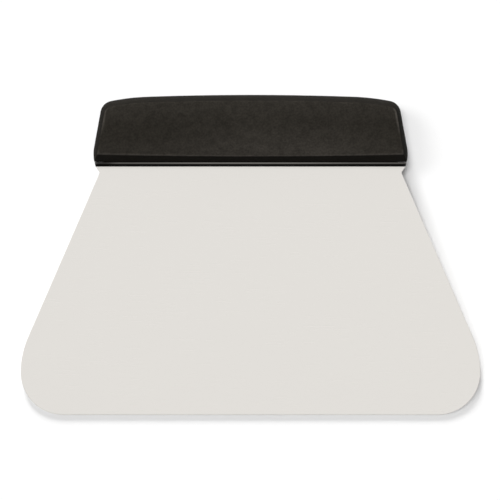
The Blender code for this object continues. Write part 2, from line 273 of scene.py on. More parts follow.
class NodeBench:
    """Lays nodes into one tree, with a short call for each kind that the finishes use."""

    def __init__(self, tree: bpy.types.NodeTree, place: Matrix | None = None) -> None:
        """Start on a tree.

        Args:
            tree: The tree.
            place: Where the tool's own frame lies, for a finish that follows it.
        """
        self.tree = tree
        self.place = place

    def feed(self, socket: Socket, value: Feed) -> None:
        """Give a socket its value.

        Args:
            socket: The input that is fed.
            value: Another node's output to link from, or a plain value.
        """
        if isinstance(value, Socket):
            self.tree.links.new(value, socket)
        else:
            socket.default_value = value

    def lay(self, kind: str, inputs: dict[str | int, Feed], **settings: str) -> bpy.types.Node:
        """Lay one node.

        Args:
            kind: The node's type, without its prefix.
            inputs: What goes into its inputs, by name or place.
            **settings: The node's own settings.

        Returns:
            The node.
        """
        node = self.tree.nodes.new("ShaderNode" + kind)
        for name, value in settings.items():
            setattr(node, name, value)
        for place, value in inputs.items():
            self.feed(node.inputs[place], value)
        return node

    def part_of(self, vector: Socket, axis: Axis) -> Socket:
        """One part of a vector."""
        return self.lay("SeparateXYZ", {0: vector}).outputs[axis.value]

    @cached_property
    def point(self) -> Socket:
        """The shaded point.

        Returns:
            The point in the tool's own frame.
        """
        inputs = {
            "Vector": self.lay("TexCoord", {}).outputs["Object"],
            "Location": tuple(self.place.translation),
            "Rotation": tuple(self.place.to_euler()),
        }
        return self.lay("Mapping", inputs, vector_type="TEXTURE").outputs[0]

    @cached_property
    def across(self) -> Socket:
        """How far right of the tool's middle the point lies."""
        return self.part_of(self.point, Axis.X)

    @cached_property
    def rise(self) -> Socket:
        """How high above the handle's mouth the point lies."""
        return self.part_of(self.point, Axis.Y)

    @cached_property
    def height(self) -> Socket:
        """How far from the middle plane the point lies, in front of it or behind."""
        return self.unsigned(self.part_of(self.point, Axis.Z))

    def maths(self, operation: Maths, first: Feed, *others: Feed) -> Socket:
        """Arithmetic on two numbers or more.

        Args:
            operation: What is done with them.
            first: The first number.
            *others: The other numbers, which are taken in turn.

        Returns:
            The result.
        """
        found = first
        for other in others:
            node = self.lay("Math", {0: found, 1: other}, operation=operation.value)
            found = node.outputs[0]
        return found

    def plus(self, *numbers: Feed) -> Socket:
        """The sum of some numbers."""
        return self.maths(Maths.PLUS, *numbers)

    def less(self, first: Feed, second: Feed) -> Socket:
        """A number less another."""
        return self.maths(Maths.LESS, first, second)

    def times(self, *numbers: Feed) -> Socket:
        """The product of some numbers."""
        return self.maths(Maths.TIMES, *numbers)

    def larger(self, *numbers: Feed) -> Socket:
        """The largest of some numbers."""
        return self.maths(Maths.LARGER, *numbers)

    def unsigned(self, number: Feed) -> Socket:
        """A number without its sign."""
        return self.maths(Maths.UNSIGNED, number, 0.0)

    def ramp(self, value: Feed, span: Span, low: float = 0.0, high: float = 1.0) -> Socket:
        """A smooth change from one number to another.

        Args:
            value: What drives the change.
            span: Where the change starts and ends.
            low: The result up to the start.
            high: The result from the end on.

        Returns:
            The result.
        """
        start, end = span
        inputs = {"Value": value, "From Min": start, "From Max": end, "To Min": low, "To Max": high}
        return self.lay("MapRange", inputs, interpolation_type="SMOOTHSTEP").outputs[0]

    def in_grains(self, size: Point3, turn: float = 0.0) -> Socket:
        """The point measured in grains, so that a texture of size 1 has grains of that size.

        Args:
            size: The grain's size along X, Y and Z.
            turn: Turn of the grain about Z, in radians.

        Returns:
            The scaled point.
        """
        inputs = {
            "Vector": self.point,
            "Rotation": (0.0, 0.0, turn),
            "Scale": tuple(1.0 / length for length in size),
        }
        return self.lay("Mapping", inputs, vector_type="POINT").outputs[0]

    def noise(self, grain: Grain, turn: float = 0.0) -> Socket:
        """Soft random relief.

        Args:
            grain: Its grain.
            turn: Turn of the grain about Z, in radians.

        Returns:
            The relief's height, from 0 to 1.
        """
        place = self.in_grains(grain.size, turn)
        inputs = {"Vector": place, "Scale": 1.0, "Detail": grain.detail, "Roughness": grain.rough}
        return self.lay("TexNoise", inputs).outputs["Fac"]

    def cells(self, size: float, soft: float) -> Socket:
        """Rounded cells.

        Args:
            size: The size of a cell.
            soft: How softly the cells run into each other.

        Returns:
            The distance from a cell's middle, in cells.
        """
        inputs = {"Vector": self.in_grains((size,) * 3), "Scale": 1.0, "Smoothness": soft}
        return self.lay("TexVoronoi", inputs, feature="SMOOTH_F1").outputs["Distance"]

    def blend(self, factor: Feed, first: Feed, second: Feed) -> Socket:
        """A colour between two others.

        Args:
            factor: 0 for the first colour, 1 for the second.
            first: The first colour.
            second: The second colour.

        Returns:
            The blended colour.
        """
        node = self.lay("Mix", {}, data_type="RGBA")
        inputs = [socket for socket in node.inputs if socket.enabled]
        for socket, value in zip(inputs, (factor, first, second)):
            self.feed(socket, value)
        return next(socket for socket in node.outputs if socket.enabled)

    def shades(self, factor: Feed, colour: Colour, shares: Span) -> Socket:
        """A colour that varies between a darker and a paler shade of itself.

        Args:
            factor: 0 for the darker shade, 1 for the paler one.
            colour: The colour.
            shares: How bright each shade is, as a share of the colour.

        Returns:
            The shaded colour.
        """
        darker, paler = (tuple(part * share for part in colour) for share in shares)
        return self.blend(factor, opaque(darker), opaque(paler))

    def bump(self, height: Feed, depth: float, under: Socket | None = None) -> Socket:
        """The surface's direction over fine relief.

        Args:
            height: The relief, from 0 to 1.
            depth: Its depth.
            under: The direction over coarser relief that this one lies on.

        Returns:
            The direction.
        """
        inputs = {"Height": height, "Distance": depth, "Strength": 1.0}
        if under is not None:
            inputs["Normal"] = under
        return self.lay("Bump", inputs).outputs[0]


# Finishes


class Finish(ABC):
    """What a surface looks like, laid as nodes into a material of its own."""

    name: ClassVar[str]

    @abstractmethod
    def surface(self, bench: NodeBench) -> dict[str, Feed]:
        """What goes into the surface shader.

        Args:
            bench: The bench of the material.

        Returns:
            The shader's inputs, by name.
        """

    def make(self, place: Matrix | None = None) -> bpy.types.Material:
        """The finished material.

        Args:
            place: Where the tool's own frame lies, for a finish that follows it.

        Returns:
            The material.
        """
        material = bpy.data.materials.new(self.name)
        material.use_nodes = True
        bench = NodeBench(material.node_tree, place)
        shader = bench.tree.nodes["Principled BSDF"]
        for name, value in self.surface(bench).items():
            bench.feed(shader.inputs[name], value)
        return material


@dataclass(frozen=True)
class SatinSteel(Finish):
    """Pale stainless sheet with a very fine grain across the blade, and with tumbled edges."""

    name: ClassVar[str] = Slot.STEEL.value

    colour: Colour = (0.76, 0.737, 0.701)
    shades: Span = (0.985, 1.015)
    grain_share: float = 0.4
    cloud_share: float = 0.6
    roughness: float = 0.30
    roughness_spread: float = 0.03
    spread_levels: Span = (0.25, 0.75)
    edge_roughness: float = 0.16
    edge_tilts: Span = (0.66, 0.96)
    grain: Grain = Grain((22.0 * MM, 0.09 * MM, 0.09 * MM), detail=3.0, rough=0.6)
    grain_depth: float = 0.0006 * MM
    cloud: Grain = Grain((34.0 * MM, 18.0 * MM, 18.0 * MM))
    hairline: Grain = Grain((16.0 * MM, 0.22 * MM, 0.22 * MM), detail=1.0)
    hairline_turns: tuple[float, ...] = (0.12, -0.35, 1.25)
    hairline_levels: Span = (0.73, 0.80)
    hairline_depth: float = 0.0012 * MM
    hairline_polish: float = 0.05

    def hairlines(self, bench: NodeBench) -> Socket:
        """Sparse fine scratches of use, in a few directions.

        Args:
            bench: The bench of the material.

        Returns:
            1 in a scratch and 0 elsewhere.
        """
        lines = [
            bench.ramp(bench.noise(self.hairline, turn), self.hairline_levels)
            for turn in self.hairline_turns
        ]
        return bench.larger(*lines)

    def tumbled(self, bench: NodeBench) -> Socket:
        """1 on the rounded edges and 0 on the flat of the sheet."""
        facing = bench.part_of(bench.lay("NewGeometry", {}).outputs["Normal"], Axis.Z)
        return bench.ramp(bench.unsigned(facing), self.edge_tilts, 1.0, 0.0)

    def surface(self, bench: NodeBench) -> dict[str, Feed]:
        """What goes into the surface shader.

        Args:
            bench: The bench of the material.

        Returns:
            The shader's inputs, by name.
        """
        lines, cloud = bench.noise(self.grain), bench.noise(self.cloud)
        scratches = self.hairlines(bench)
        depth = bench.plus(bench.times(lines, self.grain_share), bench.times(cloud, self.cloud_share))
        least, most = self.roughness - self.roughness_spread, self.roughness + self.roughness_spread
        flat = bench.ramp(depth, self.spread_levels, least, most)
        scuffed = bench.less(flat, bench.times(scratches, self.hairline_polish))
        smoothing = bench.times(self.tumbled(bench), self.roughness - self.edge_roughness)
        brushed = bench.bump(lines, self.grain_depth)
        return {
            "Base Color": bench.shades(depth, self.colour, self.shades),
            "Metallic": 1.0,
            "Roughness": bench.less(scuffed, smoothing),
            "Normal": bench.bump(bench.less(1.0, scratches), self.hairline_depth, brushed),
        }


@dataclass(frozen=True)
class WearAndSheen:
    """Where the grain is worn smoother and painted paler: highlight on the rim, sheen on the faces.

    Heights run out from the middle plane, rises up from the mouth and reaches to both sides.
    The paler spot's place lies right of the middle, and its reaches run from there.
    """

    rim_heights: Span = (7.50 * MM, 7.72 * MM)
    face_heights: Span = (7.82 * MM, 7.87 * MM)
    mouth_rises: Span = (4.5 * MM, 7.0 * MM)
    mouth_share: float = 0.62
    least_share: float = 0.05
    end_reaches: Span = (48.0 * MM, 49.6 * MM)
    end_rises: Span = (10.0 * MM, 16.0 * MM)
    end_low_share: float = 0.12
    left_end_share: float = 0.5
    # painted sheen on the faces: paler near the mouth, in a spot right of the middle, and along the top
    lower_sheen_rises: Span = (3.5 * MM, 11.5 * MM)
    lower_sheen_share: float = 0.15
    spot_place: float = 10.0 * MM
    spot_reaches: Span = (8.0 * MM, 48.0 * MM)
    spot_rises: Span = (8.5 * MM, 18.5 * MM)
    spot_share: float = 0.20
    top_rises: Span = (13.0 * MM, 21.0 * MM)
    top_share: float = 0.13

    def on_rim(self, bench: NodeBench) -> Socket:
        """Painted highlight and grain worn smoother along the rim: by the mouth, and up the ends.

        Args:
            bench: The bench of the material.

        Returns:
            0 where the grain is untouched, and 1 where it is worn smoothest and painted palest.
        """
        # painted highlight: the rim's paler line is strongest by the mouth and up the ends, and weaker
        # at the left end
        by_mouth = bench.ramp(bench.rise, self.mouth_rises, self.mouth_share, self.least_share)
        at_end = bench.ramp(bench.unsigned(bench.across), self.end_reaches)
        up_end = bench.ramp(bench.rise, self.end_rises, self.end_low_share, 1.0)
        inner = self.end_reaches[0]
        favoured = bench.ramp(bench.across, (-inner, inner), self.left_end_share, 1.0)
        return bench.larger(by_mouth, bench.times(at_end, up_end, favoured))

    def on_face(self, bench: NodeBench) -> Socket:
        """Painted sheen and grain worn smoother on a face: near the mouth, in a spot, along the top.

        Args:
            bench: The bench of the material.

        Returns:
            0 where the grain is untouched, and 1 where it is worn smoothest and painted palest.
        """
        # painted sheen: the face is painted paler near the mouth, in a spot right of the middle, and
        # along the top
        near_mouth = bench.ramp(bench.rise, self.lower_sheen_rises, self.lower_sheen_share, 0.0)
        beside_spot = bench.unsigned(bench.less(bench.across, self.spot_place))
        spot_across = bench.ramp(beside_spot, self.spot_reaches, self.spot_share, 0.0)
        spot_up = bench.ramp(bench.rise, self.spot_rises, 1.0, 0.0)
        top = bench.ramp(bench.rise, self.top_rises, 0.0, self.top_share)
        return bench.plus(near_mouth, bench.times(spot_across, spot_up), top)

    def spread(self, bench: NodeBench) -> Socket:
        """Painted sheen and highlight, and grain worn smoother, over the whole handle.

        Args:
            bench: The bench of the material.

        Returns:
            0 where the grain is untouched, and 1 where it is worn smoothest and painted palest.
        """
        past_wall = bench.ramp(bench.height, self.rim_heights)
        before_face = bench.ramp(bench.height, self.face_heights, 1.0, 0.0)
        rim = bench.times(past_wall, before_face, self.on_rim(bench))
        return bench.larger(rim, bench.times(past_wall, self.on_face(bench)))


@dataclass(frozen=True)
class GrainedPlastic(Finish):
    """Black moulding with a spark-eroded grain; its walls are painted darker as shade, and it is worn
    smoother and painted paler as highlight on the rim and sheen on the faces.
    """

    name: ClassVar[str] = Slot.GRAINED_PLASTIC.value

    # painted shade: the walls get a darker colour than the faces, standing for the shade that falls on
    # them
    painted_wall_shade_colour: Colour = (0.0116, 0.0103, 0.0085)
    face_colour: Colour = (0.0237, 0.0212, 0.0173)
    # painted sheen and highlight: this paler colour stands for the highlight on the rim and the sheen
    # on the faces
    painted_sheen_colour: Colour = (0.0700, 0.0630, 0.0550)
    wall_shade_heights: Span = (7.66 * MM, 7.84 * MM)
    shades: Span = (0.58, 1.42)
    roughness: float = 0.85
    rubbed_roughness: float = 0.62
    roughness_spread: float = 0.16
    specular: float = 0.05
    pebble: float = 0.85 * MM
    pebble_soft: float = 0.6
    pebble_depth: float = 0.10 * MM
    speckle: Grain = Grain((0.60 * MM,) * 3, rough=0.55)
    speckle_levels: Span = (0.32, 0.68)
    speckle_share: float = 0.30
    speckle_depth: float = 0.02 * MM
    blotch: Grain = Grain((2.4 * MM,) * 3)
    blotch_levels: Span = (0.30, 0.70)
    blotch_share: float = 0.27
    cloud: Grain = Grain((14.0 * MM,) * 3)
    cloud_share: float = 0.43
    middle_mottle: float = 0.5
    rubbed_relief: float = 0.35
    wear_and_sheen: WearAndSheen = WearAndSheen()

    def mottle(self, bench: NodeBench, specks: Socket) -> Socket:
        """Uneven depth of colour: specks, blotches and wide clouds.

        Args:
            bench: The bench of the material.
            specks: The finest grain.

        Returns:
            0 at the darkest and 1 at the palest.
        """
        blotches = bench.ramp(bench.noise(self.blotch), self.blotch_levels)
        return bench.plus(
            bench.times(bench.ramp(specks, self.speckle_levels), self.speckle_share),
            bench.times(blotches, self.blotch_share),
            bench.times(bench.noise(self.cloud), self.cloud_share),
        )

    def surface(self, bench: NodeBench) -> dict[str, Feed]:
        """What goes into the surface shader.

        Args:
            bench: The bench of the material.

        Returns:
            The shader's inputs, by name.
        """
        specks = bench.noise(self.speckle)
        mottle = self.mottle(bench, specks)
        # the mask of grain worn smoother, which also places the painted sheen and highlight
        sheen_and_wear = self.wear_and_sheen.spread(bench)
        # the wall colour is painted shade, and the third, paler colour is painted sheen and highlight
        wall, face, sheen = (
            bench.shades(mottle, colour, self.shades)
            for colour in (self.painted_wall_shade_colour, self.face_colour, self.painted_sheen_colour)
        )
        # painted shade: the darker wall colour runs up to the rim, and the face colour takes over past
        # it
        wall_shaded = bench.blend(bench.ramp(bench.height, self.wall_shade_heights), wall, face)
        worn = bench.ramp(sheen_and_wear, UNIT, self.roughness, self.rubbed_roughness)
        uneven = bench.times(bench.less(mottle, self.middle_mottle), self.roughness_spread)
        relief = bench.ramp(sheen_and_wear, UNIT, 1.0, self.rubbed_relief)
        pebbles = bench.less(1.0, bench.cells(self.pebble, self.pebble_soft))
        coarse = bench.bump(bench.times(pebbles, relief), self.pebble_depth)
        return {
            "Base Color": bench.blend(sheen_and_wear, wall_shaded, sheen),
            "Roughness": bench.plus(worn, uneven),
            "Normal": bench.bump(bench.times(specks, relief), self.speckle_depth, coarse),
            "Specular IOR Level": self.specular,
        }


@dataclass(frozen=True)
class SmoothPlastic(Finish):
    """Smooth black moulding, which shows as the collar.

    Its gloss lies on the collar's crest. Wiping has polished the middle and left the left end
    dull. Rises run up from the mouth, reaches to both sides and places from left to right.
    """

    name: ClassVar[str] = Slot.SMOOTH_PLASTIC.value

    colour: Colour = (0.0052, 0.0047, 0.0042)
    shades: Span = (0.8, 1.2)
    index: float = 1.75
    gloss_tint: Colour = (1.0, 0.94, 0.88)
    polished_gloss: float = 0.95
    polished_reaches: Span = (12.0 * MM, 45.0 * MM)
    wiped_gloss: float = 0.60
    wiped_roughness: float = 0.16
    dull_gloss: float = 0.22
    dull_roughness: float = 0.30
    dull_places: Span = (-50.0 * MM, -45.0 * MM)
    tip_gloss: float = 0.5
    tip_reaches: Span = (52.2 * MM, 53.2 * MM)
    wall_share: float = 0.55
    wall_rises: Span = (0.05 * MM, 0.15 * MM)
    slope_share: float = 0.06
    crest_rises: Span = (0.92 * MM, 1.08 * MM)
    scuff: Grain = Grain((5.0 * MM, 0.25 * MM, 0.25 * MM), detail=3.0, rough=0.65)
    scuff_levels: Span = (0.3, 0.8)
    scuff_gloss: Span = (1.06, 0.90)
    scuff_roughness: Span = (-0.03, 0.06)
    ripple: Grain = Grain((1.6 * MM,) * 3, detail=1.0)
    ripple_depth: float = 0.0025 * MM

    def gloss_across(self, bench: NodeBench) -> Socket:
        """Gloss of the crest along the collar.

        Args:
            bench: The bench of the material.

        Returns:
            The level of gloss.
        """
        aside = bench.unsigned(bench.across)
        more_polished = self.polished_gloss - self.wiped_gloss
        middle = bench.ramp(aside, self.polished_reaches, more_polished, 0.0)
        wiped = bench.ramp(bench.across, self.dull_places, self.dull_gloss, self.wiped_gloss)
        tip = bench.ramp(aside, self.tip_reaches, 0.0, self.tip_gloss)
        return bench.plus(middle, wiped, tip)

    def share_up(self, bench: NodeBench) -> Socket:
        """Share of the gloss that the collar's wall, slope and crest keep, from the mouth up."""
        wall = bench.ramp(bench.rise, self.wall_rises, self.wall_share, self.slope_share)
        return bench.larger(wall, bench.ramp(bench.rise, self.crest_rises))

    def surface(self, bench: NodeBench) -> dict[str, Feed]:
        """What goes into the surface shader.

        Args:
            bench: The bench of the material.

        Returns:
            The shader's inputs, by name.
        """
        scuffs = bench.noise(self.scuff)
        gloss = bench.times(self.gloss_across(bench), self.share_up(bench))
        dimming = bench.ramp(scuffs, self.scuff_levels, *self.scuff_gloss)
        worn = bench.ramp(bench.across, self.dull_places, self.dull_roughness, self.wiped_roughness)
        uneven = bench.ramp(scuffs, self.scuff_levels, *self.scuff_roughness)
        return {
            "Base Color": bench.shades(scuffs, self.colour, self.shades),
            "IOR": self.index,
            "Specular IOR Level": bench.times(gloss, dimming),
            "Specular Tint": opaque(self.gloss_tint),
            "Roughness": bench.plus(worn, uneven),
            "Normal": bench.bump(bench.noise(self.ripple), self.ripple_depth),
        }


@dataclass(frozen=True)
class WhiteTable(Finish):
    """A plain white tabletop that shows white and keeps the object's soft shadow."""

    name: ClassVar[str] = "white_table"

    colour: Colour = (0.8, 0.8, 0.8)
    shown_colour: Colour = WHITE
    roughness: float = 0.9
    lift: float = 0.10

    def seen(self, bench: NodeBench) -> Socket:
        """1 where the table itself is seen, and 0 where it only lights other things."""
        path = bench.lay("LightPath", {}).outputs
        return bench.larger(path["Is Camera Ray"], path["Is Glossy Ray"], path["Is Transmission Ray"])

    def surface(self, bench: NodeBench) -> dict[str, Feed]:
        """What goes into the surface shader.

        Args:
            bench: The bench of the material.

        Returns:
            The shader's inputs, by name.
        """
        colours = (opaque(self.colour), opaque(self.shown_colour))
        return {
            "Base Color": bench.blend(self.seen(bench), *colours),
            "Roughness": self.roughness,
            "Specular IOR Level": 0.0,
        }

    def make(self, place: Matrix | None = None) -> bpy.types.Material:
        """The finished material, lifted where it is seen by a little glow of its own.

        Args:
            place: Where the tool's own frame lies, which the table doesn't follow.

        Returns:
            The material.
        """
        material = super().make(place)
        bench = NodeBench(material.node_tree)
        nodes = bench.tree.nodes
        parts = {
            0: bench.times(self.seen(bench), self.lift),
            1: nodes["Principled BSDF"].outputs[0],
            2: bench.lay("Emission", {"Color": opaque(self.shown_colour), "Strength": 1.0}).outputs[0],
        }
        bench.feed(nodes["Material Output"].inputs["Surface"], bench.lay("MixShader", parts).outputs[0])
        return material


# Forms that the pieces share


@dataclass(frozen=True)
class Fit:
    """Sizes by which neighbouring pieces fit each other."""

    sheet_thickness: float = 1.0 * MM
    grip_wall: float = 2.9 * MM
    clearance: float = 0.3 * MM
    collar_rise: float = 1.48 * MM
    seam: float = 0.22 * MM
    ear_seat: float = 0.65 * MM

    def slot_half(self) -> float:
        """Half the width of the slot that takes the tang."""
        return self.sheet_thickness / 2 + self.clearance

    def core_inset(self) -> float:
        """How far the core's ends and top lie inside the handle's outline."""
        return self.grip_wall + self.clearance

    def foot_rise(self) -> float:
        """Height of the grip's bottom face above the mouth."""
        return self.collar_rise + self.seam


@dataclass(frozen=True)
class HandleOutline:
    """The handle seen from the front: tangent arcs and leaning lines, alike left and right."""

    length: float = 108.4 * MM
    height: float = 24.6 * MM
    widest_rise: float = 4.2 * MM
    end_radius: float = 14.0 * MM
    side_lean: float = math.radians(10.6)
    corner_radius: float = 4.6 * MM
    least_corner_radius: float = 1.15 * MM
    shoulder_radius: float = 79.0 * MM
    shoulder_reach: float = 18.6 * MM
    crown_radius: float = 990.0 * MM
    foot_bow: float = 0.7 * MM

    def end_centre(self) -> float:
        """How far out the centre of the round end lies."""
        return self.length / 2 - self.end_radius

    def side_x(self, height: float, inset: float = 0.0) -> float:
        """How far out the end lies: an arc below, a leaning line above.

        Args:
            height: Height above the mouth.
            inset: How far the outline is drawn in.

        Returns:
            Distance from the middle of the handle.
        """
        radius = self.end_radius - inset
        rise = height - self.widest_rise
        if rise <= radius * math.sin(self.side_lean):
            return self.end_centre() + math.sqrt(radius**2 - rise**2)
        leaning = radius - rise * math.sin(self.side_lean)
        return self.end_centre() + leaning / math.cos(self.side_lean)

    def crown_turn(self) -> float:
        """Half the angle that the crowned top spans, before its shoulders start."""
        return math.asin((self.length / 2 - self.shoulder_reach) / self.crown_radius)

    def shoulder_centre(self) -> Point:
        """Centre of the arc that takes the crowned top down to the round corner."""
        turn, step = self.crown_turn(), self.crown_radius - self.shoulder_radius
        return step * math.sin(turn), self.height - self.crown_radius + step * math.cos(turn)

    def corner_centre(self, inset: float, radius: float) -> Point:
        """Centre of the round corner that touches the leaning side and the shoulder.

        Args:
            inset: How far the outline is drawn in.
            radius: Radius of the corner.

        Returns:
            The centre, on a line beside the leaning side at one radius from it.
        """
        reach = self.end_radius - inset - radius
        foot_x = self.end_centre() + reach * math.cos(self.side_lean)
        foot_y = self.widest_rise + reach * math.sin(self.side_lean)
        shoulder_x, shoulder_y = self.shoulder_centre()
        gap = self.shoulder_radius - inset - radius
        across_x, across_y = foot_x - shoulder_x, foot_y - shoulder_y
        along = across_y * math.cos(self.side_lean) - across_x * math.sin(self.side_lean)
        length = math.sqrt(along**2 - across_x**2 - across_y**2 + gap**2) - along
        return foot_x - length * math.sin(self.side_lean), foot_y + length * math.cos(self.side_lean)

    def drawn(
        self, inset: float, bottom: float, foot_radius: float, bow: float = 0.0
    ) -> list[Point]:
        """The closed outline at one level of the handle.

        Args:
            inset: How far its ends and its top are drawn in.
            bottom: Height of its bottom edge above the mouth, in the middle.
            foot_radius: Radius of its lower corners.
            bow: How much higher the bottom edge lies at its ends.

        Returns:
            The outline's points, always as many.
        """
        foot_y = bottom + bow + foot_radius
        foot_x = self.side_x(foot_y, inset + foot_radius)
        foot_turn = math.atan2(foot_y - self.widest_rise, foot_x - self.end_centre())
        foot_turn = min(foot_turn, self.side_lean)
        foot = arc((foot_x, foot_y), foot_radius, -QUARTER, foot_turn, Steps.CORNER)
        shares = spaced(*UNIT, Steps.CROWN)[1:-1]
        edge = [(foot_x * share, bottom + bow * share**2) for share in shares]

        radius = max(self.corner_radius - inset, self.least_corner_radius)
        corner, shoulder = self.corner_centre(inset, radius), self.shoulder_centre()
        corner_end = math.atan2(corner[1] - shoulder[1], corner[0] - shoulder[0])
        corner_arc = arc(corner, radius, self.side_lean, corner_end, Steps.CORNER)

        heights = spaced(foot[-1][1], corner_arc[0][1], Steps.SIDE)[1:-1]
        side = [(self.side_x(height, inset), height) for height in heights]

        turn = QUARTER - self.crown_turn()
        shoulder_radius = self.shoulder_radius - inset
        shoulder_arc = arc(shoulder, shoulder_radius, corner_end, turn, Steps.CORNER)
        crown = (0.0, self.height - self.crown_radius)
        crown_arc = arc(crown, self.crown_radius - inset, turn, QUARTER, Steps.CROWN)
        return mirrored(edge + foot + side + corner_arc + shoulder_arc[1:] + crown_arc[1:-1])


@dataclass(frozen=True)
class HandleSection:
    """The way the handle's walls draw in from the middle plane to each face."""

    thickness: float = 16.0 * MM
    face_inset: float = 2.2 * MM
    rim_radius: float = 0.4 * MM
    swell_band: float = 5.0 * MM
    swell_turn: float = math.radians(4.0)

    def swell_radius(self) -> float:
        """Radius of the soft swell between the rim and the flat of the face."""
        return self.swell_band / math.sin(self.swell_turn)

    def rim_end(self) -> float:
        """Height of the rim's inner edge, where the face starts to swell."""
        return self.thickness / 2 - self.swell_band * math.tan(self.swell_turn / 2)

    def rim_centre(self) -> float:
        """Height of the centre of the rim's round section."""
        return self.rim_end() - self.rim_radius * math.cos(self.swell_turn)

    def wall_radius(self) -> float:
        """Radius of the wall's bulge.

        Returns:
            The radius that leaves it upright at the middle plane and tangent to the rim.
        """
        centre = self.face_inset + self.rim_radius * math.sin(self.swell_turn)
        chord = centre**2 + self.rim_centre() ** 2 - self.rim_radius**2
        return chord / (2 * (centre - self.rim_radius))

    def wall_top(self) -> float:
        """Height above the middle plane where the wall meets the rim."""
        return self.wall_radius() * self.rim_centre() / (self.wall_radius() - self.rim_radius)

    def inset_past(self, height: float, rim_inset: float) -> float:
        """Inset on the rim or the swelling face.

        Args:
            height: Height above the middle plane.
            rim_inset: Inset at the rim's inner edge.

        Returns:
            Inset at that height.
        """
        if height <= self.rim_end():
            across = math.sqrt(self.rim_radius**2 - (height - self.rim_centre()) ** 2)
            return rim_inset + self.rim_radius * math.sin(self.swell_turn) - across
        drop = self.swell_radius() - (self.thickness / 2 - height)
        left = math.sqrt(max(self.swell_radius() ** 2 - drop**2, 0.0))
        return rim_inset + self.swell_band - left

    def side_inset(self, height: float) -> float:
        """How far the ends and the top have drawn in.

        Args:
            height: Height above the middle plane.

        Returns:
            Inset at that height.
        """
        if height <= self.wall_top():
            return self.wall_radius() - math.sqrt(self.wall_radius() ** 2 - height**2)
        return self.inset_past(height, self.face_inset)


@dataclass(frozen=True)
class Tang:
    """The punched part of the sheet inside the handle, which the core closes round."""

    fit: Fit
    outline: HandleOutline
    top_cover: float = 5.6 * MM
    side_cover: float = 1.6 * MM
    corner_radius: float = 4.0 * MM
    hole_count: int = 5
    hole_radius: float = 3.5 * MM
    hole_margin: float = 10.0 * MM

    def top(self) -> float:
        """Height of its top edge above the mouth."""
        return self.outline.height - self.fit.core_inset() - self.top_cover

    def half_width(self) -> float:
        """Half its width, measured below its round corners."""
        level = self.top() - self.corner_radius
        return self.outline.side_x(level, self.fit.core_inset()) - self.side_cover

    def right_half(self, margin: float, bottom: float) -> list[Point]:
        """Right half of its outline.

        Args:
            margin: How far the outline is grown.
            bottom: Height at which it starts.

        Returns:
            Its points, from the bottom up.
        """
        half, top = self.half_width() + margin, self.top() + margin
        radius = self.corner_radius + margin
        corner = (half - radius, top - radius)
        return [(half, bottom)] + arc(corner, radius, 0.0, QUARTER, Steps.CORNER)

    def rods(self, radius: float, length: float) -> Body:
        """Round rods through its holes, spread evenly between its ends.

        Args:
            radius: Radius of a rod.
            length: Length of a rod.

        Returns:
            All rods in one body.
        """
        body = bmesh.new()
        pitch = 2 * (self.half_width() - self.hole_margin) / max(self.hole_count - 1, 1)
        rise = (self.fit.collar_rise + self.top()) / 2
        for i in range(self.hole_count):
            rod = bmesh.ops.create_cone(
                body, cap_ends=True, segments=Steps.HOLE.value,
                radius1=radius, radius2=radius, depth=length,
            )
            x = pitch * (i - (self.hole_count - 1) / 2)
            bmesh.ops.translate(body, verts=rod["verts"], vec=(x, rise, 0.0))
        return body


# Pieces


class Maker(ABC):
    """Makes one piece of the tool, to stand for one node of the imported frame."""

    node: ClassVar[str]
    finish: Finish

    @abstractmethod
    def build(self) -> Piece:
        """The bare piece, in the tool's own frame."""

    def dress(self, place: Matrix) -> Piece:
        """Build the piece, lay it in its place, finish it and hand it over to the frame.

        Args:
            place: Where the tool's own frame lies.

        Returns:
            The piece.
        """
        piece = self.build()
        piece.data.transform(place)
        piece.data.materials.append(self.finish.make(place))
        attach(piece, "root")
        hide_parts(self.node)
        return piece


